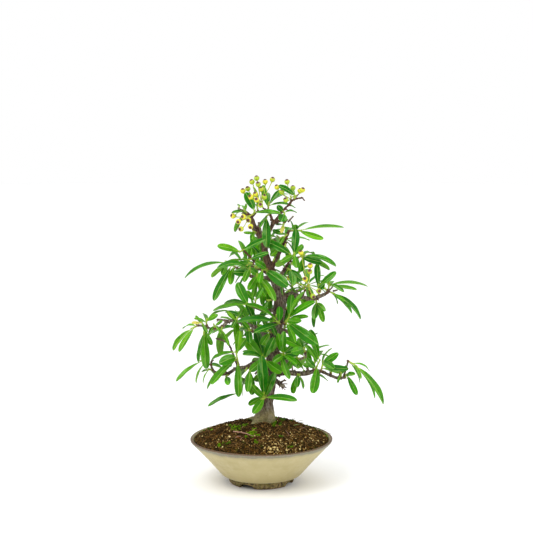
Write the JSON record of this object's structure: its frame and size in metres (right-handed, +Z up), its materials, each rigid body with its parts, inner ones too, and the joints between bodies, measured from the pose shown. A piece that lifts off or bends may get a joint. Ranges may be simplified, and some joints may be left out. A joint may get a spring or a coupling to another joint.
{
  "type": "potted narrowleaf firethorn bonsai",
  "caption": "Narrowleaf firethorn bonsai: tapering trunk, short branches with narrow green leaves and yellow-green berries, in a shallow round flared pot with a notched foot ring.",
  "frame": {"origin": "middle of the whole part's box, on the plane that the pot's foot ring stands on", "axes": "+Z up along the trunk, the longest extent; -Y is the front that the picture shows, +X to its right"},
  "size_m": [0.2506, 0.1902, 0.3678],
  "materials": {
    "pot": "beige satin glaze over brown stoneware",
    "soil": "dark crumbly bonsai grit and fibre",
    "bark": "rough grey-brown bark",
    "berries": "smooth unripe yellow-green skin",
    "leaves_mid": "glossy leathery green leaf",
    "leaves_light": "glossy leathery light green leaf",
    "leaves_dark": "glossy leathery dark green leaf"
  },
  "bodies": {
    "root": {"pot": "pot", "soil": "soil", "trunk_and_branches": "bark", "berries_top_left": "berries", "berries_crown": "berries", "berries_crown_right": "berries", "berries_middle_right": "berries", "spray_crown_left": "leaves_mid", "spray_crown_middle": "leaves_light", "spray_crown_front": "leaves_dark", "spray_crown_right": "leaves_mid", "spray_crown_low": "leaves_light", "spray_left_top": "leaves_dark", "spray_left_twig": "leaves_mid", "spray_left_reach": "leaves_light", "spray_left_over": "leaves_dark", "spray_left_under": "leaves_mid", "spray_left_face": "leaves_light", "spray_right_knot": "leaves_dark", "spray_right_arch": "leaves_mid", "spray_right_dark": "leaves_light", "spray_right_high": "leaves_dark", "spray_right_middle": "leaves_mid", "spray_right_tip": "leaves_light", "spray_right_droop": "leaves_dark", "spray_right_hang": "leaves_mid", "spray_front_right": "leaves_light", "spray_front_left": "leaves_dark", "spray_trunk_foot": "leaves_mid", "spray_centre_low": "leaves_light", "spray_centre_left": "leaves_dark", "spray_left_tip": "leaves_mid", "spray_left_tip_hang": "leaves_light", "spray_left_tip_top": "leaves_dark", "spray_left_bridge": "leaves_mid", "spray_left_centre": "leaves_light", "spray_left_low": "leaves_dark", "spray_left_low_back": "leaves_mid", "spray_left_under_low": "leaves_light", "spray_left_droop": "leaves_dark", "spray_left_low_end": "leaves_mid", "spray_left_low_middle": "leaves_light", "spray_right_low": "leaves_dark", "spray_right_low_tip": "leaves_mid", "spray_right_inner": "leaves_light", "spray_right_under": "leaves_dark", "spray_right_low_hang": "leaves_mid", "spray_right_end": "leaves_light", "spray_right_end_low": "leaves_dark", "spray_back_1": "leaves_mid", "spray_back_2": "leaves_light", "spray_back_3": "leaves_dark", "spray_back_4": "leaves_mid", "spray_back_5": "leaves_light", "spray_back_6": "leaves_dark", "spray_back_7": "leaves_mid", "spray_back_8": "leaves_light"}
  },
  "joints": []
}
